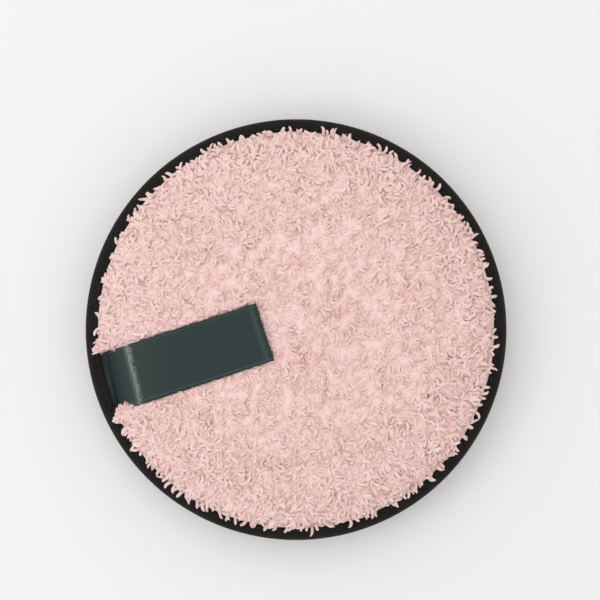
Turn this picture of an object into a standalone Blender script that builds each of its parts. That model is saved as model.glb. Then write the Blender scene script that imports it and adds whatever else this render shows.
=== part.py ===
"""A round plush cleansing pad lying on its back: two plush covers over a foam core,
a black tape folded over the seam, and a satin ribbon tag sewn in at the rim."""

import math
import random

import bmesh
import bpy
from mathutils import Matrix, Vector, geometry, noise

# Whole pad, in metres
PAD_DIAMETER = 0.120
SEAM_HEIGHT = 0.0093       # seam plane above the table
CLEARANCE = 0.0003         # gap between touching pieces

# Binding tape, folded round the edges of both covers
BINDING_FACE = 0.0041      # width that lies on each face of the pad
BINDING_TAPE = 0.0006      # thickness of the tape
BINDING_NECK = 0.0024      # half height at the stitch line
BINDING_BULGE = 0.00255    # half height where the fold begins
BINDING_FOLD = 0.0024      # reach of the rounded fold
STITCH_INSET = 0.0011      # stitch line from the inner edge of the tape

# Plush covers
FRONT_CLOTH_RISE = 0.0090  # front ground cloth above the seam plane
FRONT_PILE = 0.0022        # longest tuft of the front
FRONT_TUFT_PITCH = 0.0033
BACK_CLOTH_RISE = 0.0083
BACK_PILE = 0.0014
BACK_TUFT_PITCH = 0.0045
TUFT_STRAY = 0.30          # unevenness of the spacing, as a share of the pitch
TUFT_SHORTEST = 0.5        # shortest tuft, as a share of the pile
TUFT_LEAN = 0.7            # furthest lean, as a share of the room in a tuft's cell
TUFT_SPREAD = 3.0          # a cell with less than a pitch in this many steps has a lower tuft
PILE_OVERHANG = 0.0009     # how far the plush bulges over the tape
OVERHANG_DEPTH = 0.00025   # thickness of that bulge at its edge
SHOULDER_POWER = 5.0       # flatness of the crown
SHOULDER_ROUND = 0.6       # steepness of the sides
LUMP_HEIGHT = 0.0003       # slow unevenness of the stuffing
LUMP_LENGTH = 0.015
RIM_TUFT_MIN = 0.0007      # reach of the rim tufts past the bulge
RIM_TUFT_MAX = 0.0026
RIM_TUFT_SWAY = 0.3        # how far they turn aside, as a share of the pitch
RIM_TUFT_LIFT = 0.6        # how high they stand, as a share of the pile
FOOT_RADIUS = 0.012        # middle of the back, pressed flat on the table

# Foam core
CORE_INSET = 0.0056        # from the inner edge of the tape to the core
COVER_WALL = 0.0031        # matted pile and cloth over the foam
CORE_POWER = 4.0
CORE_ROUND = 0.5

# Ribbon tag, a flat loop with both ends in the seam
RIBBON_WIDTH = 0.0168
RIBBON_TAPE = 0.00025
RIBBON_LOOP_GAP = 0.0003   # between the two layers
RIBBON_ANGLE = math.radians(198.0)
RIBBON_LENGTH = 0.0485     # from the folded end to the root, seen from above
RIBBON_OFFSET = 0.0023     # the ribbon's middle line, beside the pad's middle
RIBBON_REST = 0.0011       # height at which the tufts carry it, above the cloth
RIBBON_BEND = 0.0115       # the bend over the shoulder begins this far from the rim

# Fineness of the curves
TURN_STEPS = 60
CORE_STEPS = 28
CORE_RINGS = 5
TAPE_FOLD_STEPS = 3        # outside of the tape's fold
TAPE_LINING_STEPS = 2      # inside of that fold
RIBBON_TOP_POINTS = 9
RIBBON_DROP_POINTS = 8
LOOP_END_POINTS = 3

# Sizes that follow from the ones above
PAD_RADIUS = PAD_DIAMETER / 2
TAPE_HALF = BINDING_TAPE / 2
LIP_EDGE = PAD_RADIUS - BINDING_FACE
FOLD_START = PAD_RADIUS - TAPE_HALF - BINDING_FOLD
FLANGE_TOP = BINDING_NECK - TAPE_HALF - CLEARANCE
FLANGE_REACH = BINDING_FOLD - TAPE_HALF - CLEARANCE
SEAM_HALF_GAP = CLEARANCE / 2
COLLAR = LIP_EDGE - CLEARANCE
PILE_EDGE = COLLAR + PILE_OVERHANG
OVERHANG_FOOT = BINDING_BULGE + TAPE_HALF + CLEARANCE
PILE_FOOT = OVERHANG_FOOT + OVERHANG_DEPTH
RIBBON_HALF_STACK = RIBBON_TAPE + RIBBON_LOOP_GAP / 2
RIBBON_SLOT = FLANGE_TOP - RIBBON_HALF_STACK
RIBBON_SIDE_REACH = RIBBON_OFFSET + RIBBON_WIDTH / 2
ROOT_RADIUS = FOLD_START + FLANGE_REACH / 2 - CLEARANCE
RIBBON_ROOT = math.sqrt(ROOT_RADIUS ** 2 - RIBBON_SIDE_REACH ** 2)
RIBBON_END = RIBBON_ROOT - RIBBON_LENGTH
SLOT_START = math.sqrt(COLLAR ** 2 - RIBBON_SIDE_REACH ** 2) - CLEARANCE
BEND_START = PAD_RADIUS - RIBBON_BEND
CORE_RADIUS = COLLAR - CORE_INSET

# Steps of the calculations
GOLDEN_TURN = math.pi * (3.0 - math.sqrt(5.0))
SLOPE_STEP = 0.0005        # span over which a slope is measured
POINT_MERGE = 0.000001
AXIS_MERGE = 0.00001


def clear_scene():
    for old in list(bpy.data.objects):
        bpy.data.objects.remove(old, do_unlink=True)


def new_collection(name):
    group = bpy.data.collections.new(name)
    bpy.context.scene.collection.children.link(group)
    return group


def new_object(name, bm, group):
    mesh = bpy.data.meshes.new(name)
    bm.to_mesh(mesh)
    bm.free()
    made = bpy.data.objects.new(name, mesh)
    group.objects.link(made)
    return made


def finish(piece, colour, roughness):
    material = bpy.data.materials.new(piece.name + "_finish")
    material.use_nodes = True
    shader = material.node_tree.nodes["Principled BSDF"]
    shader.inputs["Base Color"].default_value = (*colour, 1.0)
    shader.inputs["Roughness"].default_value = roughness
    shader.inputs["Metallic"].default_value = 0.0
    piece.data.materials.append(material)
    piece.data.shade_smooth()


def hide_cutter(cutter):
    cutter.hide_render = True
    cutter.display_type = "WIRE"


def cut(piece, cutter):
    """Takes the cutter's shape out of the piece."""
    boolean = piece.modifiers.new("cut_" + cutter.name, "BOOLEAN")
    boolean.operation = "DIFFERENCE"
    boolean.solver = "EXACT"
    boolean.object = cutter


def turned(name, profile, steps, group):
    """A profile of (radius, height) points turned round the pad's axis."""
    bm = bmesh.new()
    verts = [bm.verts.new((radius, 0.0, height)) for radius, height in profile]
    for start, end in zip(verts, verts[1:]):
        bm.edges.new((start, end))
    if profile[0][0] > 0.0:
        bm.edges.new((verts[-1], verts[0]))
    made = new_object(name, bm, group)
    screw = made.modifiers.new("turn", "SCREW")
    screw.steps = steps
    screw.render_steps = steps
    screw.use_merge_vertices = True
    screw.merge_threshold = AXIS_MERGE
    return made


def crown_points(pitch, chance):
    """A ring of points round the crown's edge, and points on a sunflower spiral inside it."""
    ring = round(2 * math.pi * PILE_EDGE / pitch)
    points = [Vector((PILE_EDGE, 0.0)) for _ in range(ring)]
    for index, point in enumerate(points):
        point.rotate(Matrix.Rotation(2 * math.pi * index / ring, 2))
    count = round(math.pi * (PILE_EDGE / pitch) ** 2)
    for index in range(count):
        radius = (PILE_EDGE - pitch / 2) * math.sqrt((index + 0.5) / count)
        turn = GOLDEN_TURN * index
        stray = Vector((chance.uniform(-1.0, 1.0), chance.uniform(-1.0, 1.0))) * TUFT_STRAY * pitch
        spot = Vector((math.cos(turn), math.sin(turn))) * radius + stray
        points.append(spot * min(1.0, (PILE_EDGE - pitch / 2) / spot.length))
    return points


def cloth_rise(radius, rise):
    """Height of a cover's ground cloth over the seam plane."""
    share = min(1.0, abs(radius) / PILE_EDGE)
    return PILE_FOOT + (rise - PILE_FOOT) * (1.0 - share ** SHOULDER_POWER) ** SHOULDER_ROUND


def cloth_normal(place, rise):
    """Outward direction of that cloth, in the frame where the cover's outer side is up."""
    out = Vector((place.x, place.y, 0.0))
    inner = min(out.length, PILE_EDGE) - SLOPE_STEP
    slope = (cloth_rise(inner, rise) - cloth_rise(inner + SLOPE_STEP, rise)) / SLOPE_STEP
    return (out.normalized() * slope + Vector((0.0, 0.0, 1.0))).normalized()


def cover_shell(rise, pile, pitch, chance, rest_height, is_pressed):
    """A solid with tufts all over its crown and the flat flange that goes in the seam."""
    bm = bmesh.new()
    points = crown_points(pitch, chance)
    spots, _, corners, *_ = geometry.delaunay_2d_cdt(points, [], [], 0, POINT_MERGE)
    verts = [bm.verts.new((spot.x, spot.y, 0.0)) for spot in spots]
    for corner in corners:
        bm.faces.new([verts[index] for index in corner])
    half_turn = math.pi
    bmesh.ops.join_triangles(
        bm, faces=bm.faces[:], angle_face_threshold=half_turn, angle_shape_threshold=half_turn
    )
    for vert in bm.verts:
        radius = vert.co.length
        lump = noise.noise(vert.co / LUMP_LENGTH) * LUMP_HEIGHT * (1.0 - radius / PILE_EDGE)
        vert.co.z = min(cloth_rise(radius, rise) + lump, rest_height)
    rim = [edge for edge in bm.edges if edge.is_boundary]
    raise_tufts(bm, rise, pile, pitch, chance, rest_height, is_pressed)
    close_flange(bm, rim)
    bmesh.ops.recalc_face_normals(bm, faces=bm.faces)
    return bm


def cell_room(face):
    """Distance from a cell's middle to the nearest of its sides."""
    middle = face.calc_center_median()
    return min(((edge.verts[0].co + edge.verts[1].co) / 2 - middle).length for edge in face.edges)


def raise_tufts(bm, rise, pile, pitch, chance, rest_height, is_pressed):
    """Pokes each cell of the crown into one tuft. The tufts of the last row lean out."""
    cells = [face for face in bm.faces if not is_pressed(face.calc_center_median(), pitch / 2)]
    last_row = [any(edge.is_boundary for edge in face.edges) for face in cells]
    rooms = [cell_room(face) for face in cells]
    tips = bmesh.ops.poke(bm, faces=cells)["verts"]
    for tip, leans_out, room in zip(tips, last_row, rooms):
        out = Vector((tip.co.x, tip.co.y, 0.0)).normalized()
        side = Vector((-out.y, out.x, 0.0))
        if leans_out:
            reach = PILE_EDGE + chance.uniform(RIM_TUFT_MIN, RIM_TUFT_MAX)
            height = PILE_FOOT + chance.uniform(0.0, RIM_TUFT_LIFT) * pile
            sway = chance.uniform(-RIM_TUFT_SWAY, RIM_TUFT_SWAY) * pitch
            tip.co = out * reach + side * sway + Vector((0.0, 0.0, height))
            continue
        fullness = min(1.0, TUFT_SPREAD * room / pitch) * chance.uniform(TUFT_SHORTEST, 1.0)
        tip.co += cloth_normal(tip.co, rise) * pile * fullness
        turn = chance.uniform(0.0, 2 * math.pi)
        lean = room * chance.uniform(0.0, TUFT_LEAN)
        tip.co += (out * math.cos(turn) + side * math.sin(turn)) * lean
        tip.co.z = min(tip.co.z, rest_height)


def close_flange(bm, rim):
    """Runs the crown's edge back under its bulge, out along the seam and down to it."""
    shoulder = math.radians(70.0)
    corner = (FOLD_START + FLANGE_REACH * math.cos(shoulder), FLANGE_TOP * math.sin(shoulder))
    tip = FOLD_START + FLANGE_REACH * math.sqrt(1.0 - (SEAM_HALF_GAP / FLANGE_TOP) ** 2)
    rings = [(COLLAR, OVERHANG_FOOT), (COLLAR, FLANGE_TOP), corner, (tip, SEAM_HALF_GAP)]
    for radius, height in rings:
        grown = bmesh.ops.extrude_edge_only(bm, edges=rim)["geom"]
        rim = [item for item in grown if isinstance(item, bmesh.types.BMEdge) and item.is_boundary]
        for vert in {vert for edge in rim for vert in edge.verts}:
            flat = Vector((vert.co.x, vert.co.y, 0.0)).normalized()
            vert.co = flat * radius + Vector((0.0, 0.0, height))
    bmesh.ops.contextual_create(bm, geom=rim)


def lens(half_height, radius, grow):
    """The points of one half of the core, from its middle to its edge."""
    points = []
    for ring in range(CORE_RINGS + 1):
        share = math.sin(math.pi / 2 * ring / CORE_RINGS)
        height = half_height * (1.0 - share ** CORE_POWER) ** CORE_ROUND
        points.append((share * (radius + grow), height + grow))
    return points


def core_profile(grow):
    front = lens(FRONT_CLOTH_RISE - COVER_WALL, CORE_RADIUS, grow)
    back = lens(BACK_CLOTH_RISE - COVER_WALL, CORE_RADIUS, grow)
    edge = CORE_RADIUS + grow
    return front[:-1] + [(edge, grow + CLEARANCE), (edge, -grow - CLEARANCE)] + [
        (radius, -height) for radius, height in reversed(back[:-1])
    ]


def lift(profile):
    return [(radius, height + SEAM_HEIGHT) for radius, height in profile]


def foam_core(group):
    core = turned("foam_core", lift(core_profile(0.0)), CORE_STEPS, group)
    finish(core, (0.80, 0.76, 0.66), 0.9)


def ribbon_height(along):
    """Height of the ribbon's middle over the seam plane, at a distance from the pad's middle."""
    if along <= BEND_START:
        return cloth_rise(along, FRONT_CLOTH_RISE) + RIBBON_REST
    if along >= SLOT_START:
        return RIBBON_SLOT
    top = cloth_rise(BEND_START, FRONT_CLOTH_RISE) + RIBBON_REST
    before = cloth_rise(BEND_START - SLOPE_STEP, FRONT_CLOTH_RISE) + RIBBON_REST
    span = SLOT_START - BEND_START
    share = (along - BEND_START) / span
    slope = (top - before) / SLOPE_STEP * span
    return (
        top * (2 * share ** 3 - 3 * share ** 2 + 1)
        + slope * (share ** 3 - 2 * share ** 2 + share)
        + RIBBON_SLOT * (3 * share ** 2 - 2 * share ** 3)
    )


def ribbon_stations():
    """Distances from the pad's middle, from the folded end to the root."""
    flat = [
        RIBBON_END + (BEND_START - RIBBON_END) * index / RIBBON_TOP_POINTS
        for index in range(RIBBON_TOP_POINTS)
    ]
    drop = [
        BEND_START + (SLOT_START - BEND_START) * index / RIBBON_DROP_POINTS
        for index in range(RIBBON_DROP_POINTS + 1)
    ]
    return flat + drop + [RIBBON_ROOT]


def ribbon_line(offset):
    """The ribbon's middle line moved square to itself by an offset, end to root."""
    points = []
    for along in ribbon_stations():
        rise = (ribbon_height(along + SLOPE_STEP) - ribbon_height(along - SLOPE_STEP)) / (2 * SLOPE_STEP)
        square = Vector((-rise, 1.0)).normalized()
        points.append(Vector((along, ribbon_height(along))) + square * offset)
    return points


def under_ribbon(place, margin):
    """Whether a place on the front lies under the ribbon."""
    out = Vector((math.cos(RIBBON_ANGLE), math.sin(RIBBON_ANGLE), 0.0))
    side = Vector((out.y, -out.x, 0.0))
    across = abs(place.dot(side) - RIBBON_OFFSET)
    return place.dot(out) > RIBBON_END - margin and across < RIBBON_WIDTH / 2 + margin


def place_on_ribbon(along, across, height):
    """From distance, sideways place and height on the ribbon to the pad's frame."""
    out = Vector((math.cos(RIBBON_ANGLE), math.sin(RIBBON_ANGLE), 0.0))
    side = Vector((out.y, -out.x, 0.0))
    return out * along + side * (RIBBON_OFFSET + across) + Vector((0.0, 0.0, height + SEAM_HEIGHT))


def shift_across(bm, grown, width):
    """Moves what was just extruded sideways over the ribbon's width."""
    way = place_on_ribbon(0.0, width, 0.0) - place_on_ribbon(0.0, 0.0, 0.0)
    bmesh.ops.translate(bm, vec=way, verts=[item for item in grown if isinstance(item, bmesh.types.BMVert)])


def swept_strip(points, half_width):
    """An open strip as wide as the ribbon that follows (distance, height) points."""
    bm = bmesh.new()
    line = [bm.verts.new(place_on_ribbon(point.x, -half_width, point.y)) for point in points]
    edges = [bm.edges.new(pair) for pair in zip(line, line[1:])]
    shift_across(bm, bmesh.ops.extrude_edge_only(bm, edges=edges)["geom"], 2 * half_width)
    return bm


def ribbon_tag(group):
    half_loop = (RIBBON_TAPE + RIBBON_LOOP_GAP) / 2
    lower = ribbon_line(-half_loop)
    upper = ribbon_line(half_loop)
    middle = (lower[0] + upper[0]) / 2
    fold = []
    for index in range(1, LOOP_END_POINTS + 1):
        turn = math.pi * index / (LOOP_END_POINTS + 1)
        up = (upper[0] - middle) * -math.cos(turn)
        out = Vector((-half_loop * math.sin(turn), 0.0))
        fold.append(middle + up + out)
    loop = lower[::-1] + fold + upper
    tag = new_object("ribbon_tag", swept_strip(loop, RIBBON_WIDTH / 2), group)
    solidify = tag.modifiers.new("tape", "SOLIDIFY")
    solidify.thickness = RIBBON_TAPE
    solidify.offset = 0.0
    finish(tag, (0.016, 0.018, 0.018), 0.35)


def ribbon_bed(group):
    """The room that the ribbon presses into the plush, open to the sky."""
    floor = ribbon_line(-RIBBON_HALF_STACK - CLEARANCE)
    floor[0].x = RIBBON_END - RIBBON_HALF_STACK - CLEARANCE
    floor[-1].x = RIBBON_ROOT + CLEARANCE
    sky = FRONT_CLOTH_RISE + 3 * FRONT_PILE
    outline = floor + [Vector((floor[-1].x, sky)), Vector((floor[0].x, sky))]
    half_width = RIBBON_WIDTH / 2 + CLEARANCE
    bm = bmesh.new()
    ring = [bm.verts.new(place_on_ribbon(point.x, -half_width, point.y)) for point in outline]
    face = bm.faces.new(ring)
    shift_across(bm, bmesh.ops.extrude_face_region(bm, geom=[face])["geom"], 2 * half_width)
    bmesh.ops.recalc_face_normals(bm, faces=bm.faces)
    bed = new_object("ribbon_bed", bm, group)
    hide_cutter(bed)
    return bed


def front_cover(group, cavity, bed):
    chance = random.Random(11)
    bm = cover_shell(FRONT_CLOTH_RISE, FRONT_PILE, FRONT_TUFT_PITCH, chance, math.inf, under_ribbon)
    bmesh.ops.translate(bm, vec=(0.0, 0.0, SEAM_HEIGHT), verts=bm.verts)
    cover = new_object("front_cover", bm, group)
    cut(cover, cavity)
    cut(cover, bed)
    finish(cover, (0.78, 0.55, 0.51), 0.95)


def on_foot(place, margin):
    """Whether a place lies on the pressed middle of the back."""
    return math.hypot(place.x, place.y) < FOOT_RADIUS + margin


def press_foot(bm, rest_height):
    """Flattens the middle of the back against the table and makes it one face."""
    for vert in bm.verts:
        if on_foot(vert.co, 0.0) and vert.co.z > SEAM_HALF_GAP:
            vert.co.z = rest_height
    flat = [face for face in bm.faces if all(vert.co.z == face.verts[0].co.z for vert in face.verts)]
    foot = [face for face in flat if face.verts[0].co.z > FLANGE_TOP]
    bmesh.ops.dissolve_faces(bm, faces=foot, use_verts=True)


def back_cover(group, cavity):
    chance = random.Random(23)
    bm = cover_shell(BACK_CLOTH_RISE, BACK_PILE, BACK_TUFT_PITCH, chance, SEAM_HEIGHT, on_foot)
    press_foot(bm, SEAM_HEIGHT)
    for vert in bm.verts:
        vert.co.z = SEAM_HEIGHT - vert.co.z
    bmesh.ops.recalc_face_normals(bm, faces=bm.faces)
    cover = new_object("back_cover", bm, group)
    cut(cover, cavity)
    finish(cover, (0.76, 0.53, 0.49), 0.95)


def tape_line(fold_steps):
    """The tape's middle line: two lips pinched at the stitch line and a rounded fold outside."""
    upper = [(LIP_EDGE, BINDING_BULGE), (LIP_EDGE + STITCH_INSET, BINDING_NECK)]
    for index in range(fold_steps):
        turn = math.pi / 2 * (1.0 - index / fold_steps)
        upper.append((FOLD_START + BINDING_FOLD * math.cos(turn), BINDING_BULGE * math.sin(turn)))
    nose = [(PAD_RADIUS - TAPE_HALF, 0.0)]
    return upper + nose + [(radius, -height) for radius, height in reversed(upper)]


def edge_binding(group):
    outer = offset_line(tape_line(TAPE_FOLD_STEPS), TAPE_HALF)
    inner = offset_line(tape_line(TAPE_LINING_STEPS), -TAPE_HALF)
    binding = turned("edge_binding", lift(outer + inner[::-1]), TURN_STEPS, group)
    finish(binding, (0.017, 0.015, 0.013), 0.8)


def offset_line(points, distance):
    """The line moved to its left by a distance."""
    moved = []
    for index, point in enumerate(points):
        before = points[max(0, index - 1)]
        after = points[min(len(points) - 1, index + 1)]
        square = Vector((before[1] - after[1], after[0] - before[0])).normalized()
        moved.append((point[0] + square.x * distance, point[1] + square.y * distance))
    return moved


def main():
    clear_scene()
    pad = new_collection("cleansing_pad")
    cutters = new_collection("cutters")
    cavity = turned("core_cavity", lift(core_profile(CLEARANCE)), CORE_STEPS, cutters)
    hide_cutter(cavity)
    bed = ribbon_bed(cutters)
    front_cover(pad, cavity, bed)
    back_cover(pad, cavity)
    foam_core(pad)
    edge_binding(pad)
    ribbon_tag(pad)


main()
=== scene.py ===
"""Dresses the cleansing pad: curly plush on both faces, a black tape round the edge, a satin ribbon tag."""

import math
import random

import bpy
import numpy as np
from mathutils import Matrix, Vector, kdtree, noise
from mathutils.bvhtree import BVHTree


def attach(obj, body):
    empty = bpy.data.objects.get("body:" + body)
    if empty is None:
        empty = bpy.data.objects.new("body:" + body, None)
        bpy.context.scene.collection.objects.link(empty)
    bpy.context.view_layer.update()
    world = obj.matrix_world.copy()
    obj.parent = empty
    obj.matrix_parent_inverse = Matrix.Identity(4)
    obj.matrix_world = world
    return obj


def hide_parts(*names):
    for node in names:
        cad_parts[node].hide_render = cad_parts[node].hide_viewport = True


MM = 0.001

# Sizes that the solids have too, in metres
PAD_RADIUS = 60.0 * MM
SEAM_HEIGHT = 9.3 * MM
LIP_EDGE = 55.9 * MM
TAPE_THICK = 0.6 * MM
TAPE_NECK = 2.4 * MM
TAPE_BULGE = 2.55 * MM
TAPE_FOLD = 2.4 * MM
FOLD_START = PAD_RADIUS - TAPE_THICK / 2 - TAPE_FOLD
STITCH_INSET = 1.1 * MM
COLLAR = 55.6 * MM
PILE_EDGE = 56.5 * MM
PILE_FOOT = 3.4 * MM
FLANGE_TOP = 1.8 * MM
FLANGE_KNEE = (57.9 * MM, FLANGE_TOP * 0.92)
FLANGE_TIP = 59.1 * MM
SEAM_HALF_GAP = 0.15 * MM
FRONT_RISE = 9.0 * MM
BACK_RISE = 8.3 * MM
SHOULDER_POWER = 5.0
SHOULDER_ROUND = 0.6
COVER_WALL = 2.8 * MM
CORE_RADIUS = 50.3 * MM
CORE_GAP = 0.3 * MM
RIBBON_TURN = math.radians(198.0)
RIBBON_OUT = np.array([math.cos(RIBBON_TURN), math.sin(RIBBON_TURN), 0.0])
RIBBON_SIDE = np.array([RIBBON_OUT[1], -RIBBON_OUT[0], 0.0])
RIBBON_WIDTH = 16.8 * MM
RIBBON_TAPE = 0.25 * MM
RIBBON_LOOP_GAP = 0.3 * MM
RIBBON_END = 8.4 * MM
RIBBON_ROOT = 56.9 * MM
RIBBON_OFFSET = 2.3 * MM
RIBBON_SLOT = 1.4 * MM

# How the ribbon lies: over the cloth, skewed at its bend, stiff before it, rounded where it turns
RIBBON_REST = 1.5 * MM
RIBBON_SKEW = 0.077
STIFF_START = 41.0 * MM
STIFF_FALL = 0.10
BEND_START = 47.3 * MM
BEND_ROUND = 0.4 * MM
SLOT_START = 54.4 * MM
SLOT_ROUND = 0.3 * MM
FOLD_BULGE = 0.55 * MM
# Where the painted highlight and painted glints cross the satin, a little inside its bend
PAINTED_HIGHLIGHT_PLACE = 46.95 * MM
SLOPE_STEP = 0.2 * MM
RIBBON_COLUMNS = 15
RIBBON_FAN = math.radians(0.5)
RIBBON_RIPPLE = 0.16 * MM
SATIN_PICK = 0.22

# How the tape is sewn, and the pitch of its weave in millimetres
STITCHES = 138
STITCH_PULL = 0.12 * MM
THREAD_RADIUS = 0.16 * MM
TAPE_RIPPLE = 0.10 * MM
TAPE_RIB = 0.55
TAPE_PICK = 0.40

# Ground cloth
CROWN_STEPS = 38
HOLLOW_STEPS = 7
COVER_TURNS = 144
LUMP_HEIGHT = 0.3 * MM
LUMP_LENGTH = 15.0 * MM
SWELL_PRESSURE = 4.0
SWELL_STEPS = 20
SWELL_LIMIT = 0.4 * MM
GROUND_FLOOR = 0.6 * MM
GROUND_SETTLE = 1.3 * MM
BED_DEPTH = 0.65 * MM
BED_EDGE = 1.0 * MM

# Pile. A shape is a length in millimetres, then degrees: two turns, the climb and the dive
CURL_SHAPES = [
    (3.0, 25, 30, 48, -30),
    (3.0, -30, -20, 46, -28),
    (3.4, 45, -50, 46, -32),
    (3.4, -50, 45, 48, -30),
    (2.9, 10, 105, 44, -26),
    (2.9, -10, -110, 46, -26),
    (3.6, 110, 80, 42, -30),
    (3.6, -115, -85, 44, -28),
    (2.7, 15, -10, 44, -20),
    (2.5, -30, 20, 56, -5),
    (2.2, 60, 60, 62, 5),
    (3.8, 160, 120, 40, -30),
]
STRAIGHT_CURLS = [0, 1, 2, 3, 8, 9, 10]
CURL_RADIUS = 0.46 * MM
CURL_DEPTH = 0.62 * MM
CURL_ENDS = (0.94, 0.58)
STRAND_SEGMENTS = 5
SHAG_START = 24.0 * MM
SHAG_WIDTH = 32.0 * MM
STRAIGHT_FROM = 0.85
SHORT_FROM = 0.92
SHORT_SIZE = 0.85
FRONT_CURLS = 11000
BACK_CURLS = 4700
TONE_BAND = 1.0 / 32.0
FRONT_CLUMPS = 1050
BACK_CLUMPS = 1050
CLUMP_REACH = 2.15 * MM
CLUMP_STRAY = 0.36
FRONT_DOME = 1.15 * MM
BACK_DOME = 0.6 * MM
PILE_FLOOR = 0.02 * MM
PILE_SETTLE = 0.8 * MM
EDGE_ROOM = 0.35 * MM
PUSH_REACH = 1.3 * MM
GOLDEN_TURN = math.pi * (3.0 - math.sqrt(5.0))

# Rim of the pile, which stands back from its edge by an uneven inset
ROD_SHAPES = [
    (4.0, 20, 15, 34, -22),
    (3.9, -20, -20, 32, -24),
    (3.5, 60, 30, 38, -26),
    (3.5, -50, -40, 36, -22),
    (3.2, 15, -25, 30, -14),
    (4.2, -35, 50, 32, -24),
]
ROD_RADIUS = 0.36 * MM
ROD_DEPTH = 0.3 * MM
ROD_ENDS = (0.80, 0.38)
RIM_START = 47.0 * MM
RIM_INSET = 2.4 * MM
RIM_SHIFT = 0.7 * MM
RIM_WAVER = 1.5 * MM
WAVER_SIZE = 11.0 * MM
LEAST_INSET = 0.6 * MM
MOST_INSET = 3.6 * MM
CURL_INSET = 0.45
RIM_CLUMPS = 84
CLUMP_STRANDS = 16
CLUMP_WIDTH = 2.3 * MM
RIM_SINGLES = 12
CORNER_STRANDS = 26

# View
CAMERA_HEIGHT = 450.0 * MM
CAMERA_X = 1.113 * MM
CAMERA_Y = 8.445 * MM
CAMERA_LENS = 92.7
ROOM_LIGHT = 0.86
FLOOR_SIZE = 3.0

# Off the axis, so that no two points of a turned mesh are as far from it
SORT_PLACE = (0.2231, 0.0917, 0.0373)

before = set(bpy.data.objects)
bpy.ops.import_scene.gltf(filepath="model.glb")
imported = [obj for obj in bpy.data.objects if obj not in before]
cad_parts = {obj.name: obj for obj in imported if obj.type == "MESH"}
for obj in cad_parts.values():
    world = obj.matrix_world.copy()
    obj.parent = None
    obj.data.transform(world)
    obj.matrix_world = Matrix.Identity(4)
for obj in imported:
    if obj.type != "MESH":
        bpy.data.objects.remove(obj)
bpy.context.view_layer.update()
chance = random.Random(7)


class Socket:
    """A shader value. Arithmetic on it adds Math nodes."""

    def __init__(self, shader, link):
        self.shader = shader
        self.link = link

    def math(self, operation, *values):
        return self.shader.node("ShaderNodeMath", {"operation": operation}, dict(enumerate(values)))

    def __add__(self, other):
        return self.math("ADD", self, other)

    def __radd__(self, other):
        return self.math("ADD", other, self)

    def __sub__(self, other):
        return self.math("SUBTRACT", self, other)

    def __rsub__(self, other):
        return self.math("SUBTRACT", other, self)

    def __mul__(self, other):
        return self.math("MULTIPLY", self, other)

    def __rmul__(self, other):
        return self.math("MULTIPLY", other, self)

    def sine(self):
        return self.math("SINE", self)

    def size(self):
        return self.math("ABSOLUTE", self)


class Shader:
    """A tree of nodes, and the one method that adds to it."""

    def __init__(self, tree):
        self.tree = tree

    def node(self, kind, settings, values, output=0):
        """One output of a new node. Settings come first, then the values or links of its sockets."""
        made = self.tree.nodes.new(kind)
        for name, value in settings.items():
            if name == "stops":
                ramp = made.color_ramp
                while len(ramp.elements) < len(value):
                    ramp.elements.new(0.5)
                for element, (place, colour) in zip(ramp.elements, value):
                    element.position = place
                    element.color = (*colour, 1.0)
            else:
                setattr(made, name, value)
        for name, value in values.items():
            if isinstance(value, Socket):
                self.tree.links.new(value.link, made.inputs[name])
            else:
                made.inputs[name].default_value = value
        return Socket(self, made.outputs[output])


class Paint(Shader):
    """One material and the nodes that feed its surface."""

    def __init__(self, name, **constants):
        self.material = bpy.data.materials.new(name)
        self.material.use_nodes = True
        super().__init__(self.material.node_tree)
        self.surface = self.tree.nodes["Principled BSDF"]
        for socket, value in constants.items():
            self.surface.inputs[socket.replace("_", " ")].default_value = value

    def feed(self, **links):
        for name, value in links.items():
            self.tree.links.new(value.link, self.surface.inputs[name.replace("_", " ")])

    def place(self):
        return self.node("ShaderNodeTexCoord", {}, {}, "Object")

    def run(self, name):
        """The two distances of the piece's own map."""
        place = self.node("ShaderNodeUVMap", {"uv_map": name}, {})
        first = self.node("ShaderNodeSeparateXYZ", {}, {0: place})
        return first, Socket(self, first.link.node.outputs[1])

    def noise(self, scale, detail=2.0):
        return self.node("ShaderNodeTexNoise", {}, {"Vector": self.place(), "Scale": scale, "Detail": detail})

    def mix(self, share, first, second, blend="MIX"):
        settings = {"data_type": "RGBA", "blend_type": blend}
        first = first if isinstance(first, Socket) else (*first, 1.0)
        second = second if isinstance(second, Socket) else (*second, 1.0)
        return self.node("ShaderNodeMix", settings, {0: share, 6: first, 7: second}, 2)

    def ramp(self, value, stops):
        return self.node("ShaderNodeValToRGB", {"stops": stops}, {0: value})

    def near(self, value, far, close):
        """One where a value is at `close`, fading to none at `far`."""
        settings = {"interpolation_type": "SMOOTHSTEP"}
        return self.node("ShaderNodeMapRange", settings, {0: value, 1: far, 2: close})

    def dot(self, direction):
        """How far a point lies along a direction."""
        values = {0: self.place(), 1: tuple(direction)}
        return self.node("ShaderNodeVectorMath", {"operation": "DOT_PRODUCT"}, values, 1)

    def bump(self, height, distance, strength=1.0):
        values = {"Height": height, "Distance": distance, "Strength": strength}
        self.feed(Normal=self.node("ShaderNodeBump", {}, values))


def linear(red, green, blue):
    """A colour as it is seen on a screen, 0 to 255, as the shader wants it."""
    shares = [part / 255.0 for part in (red, green, blue)]
    return tuple(
        share / 12.92 if share <= 0.04045 else ((share + 0.055) / 1.055) ** 2.4 for share in shares
    )


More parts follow.
